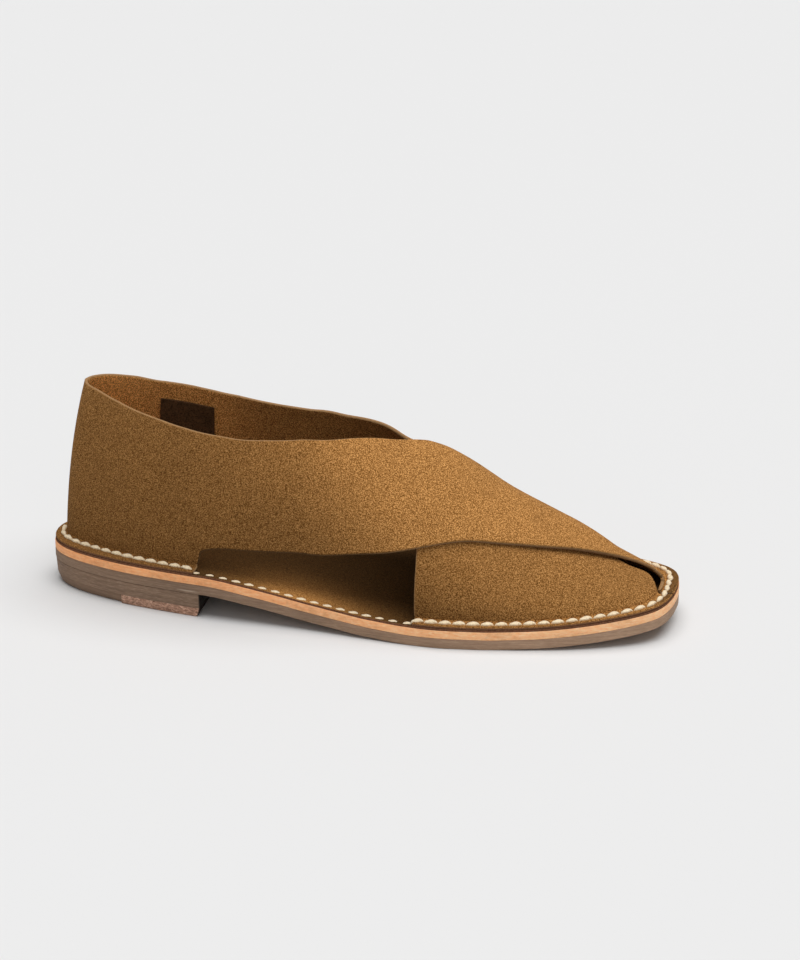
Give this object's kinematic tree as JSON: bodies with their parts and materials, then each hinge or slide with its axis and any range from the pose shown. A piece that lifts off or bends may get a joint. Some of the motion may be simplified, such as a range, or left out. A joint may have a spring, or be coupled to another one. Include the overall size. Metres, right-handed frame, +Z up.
{
  "type": "suede sandal",
  "caption": "Men's crossover suede sandal, right shoe: two straps crossed over the vamp, turned-out stitched edge, open toe, leather midsole, low rubber heel.",
  "frame": {"origin": "middle of the footprint's bounding box on the ground", "axes": "+X from heel to toe, +Y to the inner (medial) side, +Z up"},
  "size_m": [0.292, 0.1066, 0.0976],
  "materials": {
    "suede": "matte",
    "insole_suede": "matte",
    "midsole_leather": "satin",
    "outsole_rubber": "matte",
    "heel_rubber": "matte",
    "top_piece_rubber": "matte",
    "top_piece_leather": "matte",
    "lining_leather": "satin"
  },
  "bodies": {
    "root": {"upper": "suede", "insole": "insole_suede", "midsole": "midsole_leather", "outsole": "outsole_rubber", "heel_block": "heel_rubber", "top_piece_rubber": "top_piece_rubber", "top_piece_leather": "top_piece_leather", "lining_patch": "lining_leather"}
  },
  "joints": []
}
